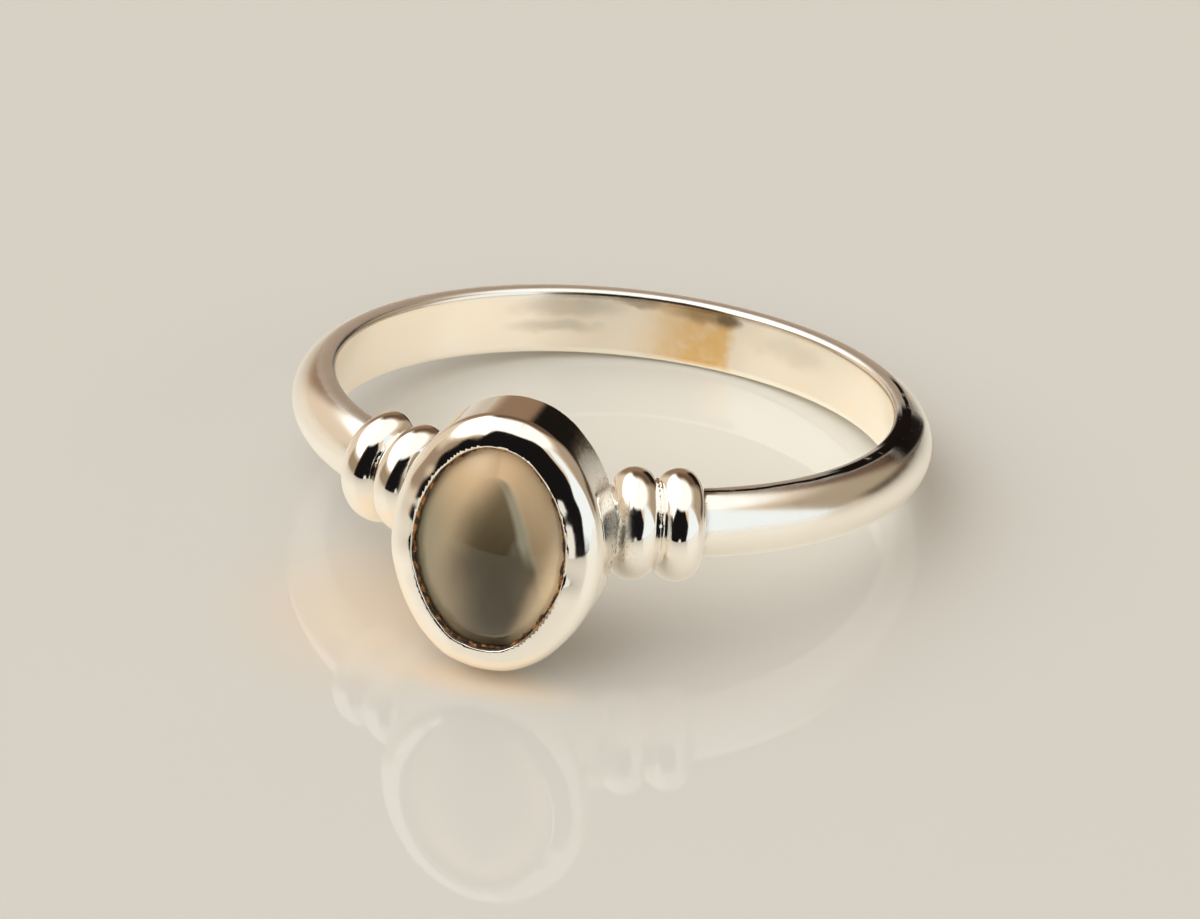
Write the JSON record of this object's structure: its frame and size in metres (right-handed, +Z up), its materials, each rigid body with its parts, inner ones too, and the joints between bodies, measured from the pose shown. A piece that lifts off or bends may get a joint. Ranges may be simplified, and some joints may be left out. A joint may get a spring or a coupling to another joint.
{
  "type": "moonstone ring",
  "caption": "Polished silver finger ring: domed band, ribbed shoulders and an oval moonstone cabochon in a deep rounded bezel, lying on its side.",
  "frame": {"origin": "on the surface that the ring lies on, under the middle of its box", "axes": "+Z up from that surface, -Y towards the front of the stone; the finger hole's axis leans 8.9 degrees from +Z towards +Y"},
  "size_m": [0.0206, 0.0242, 0.0088],
  "materials": {
    "silver": "polished sterling silver with tarnish in the recesses",
    "moonstone": "polished translucent grey-beige cabochon"
  },
  "bodies": {
    "root": {"silver_mount": "silver", "moonstone": "moonstone"}
  },
  "joints": []
}
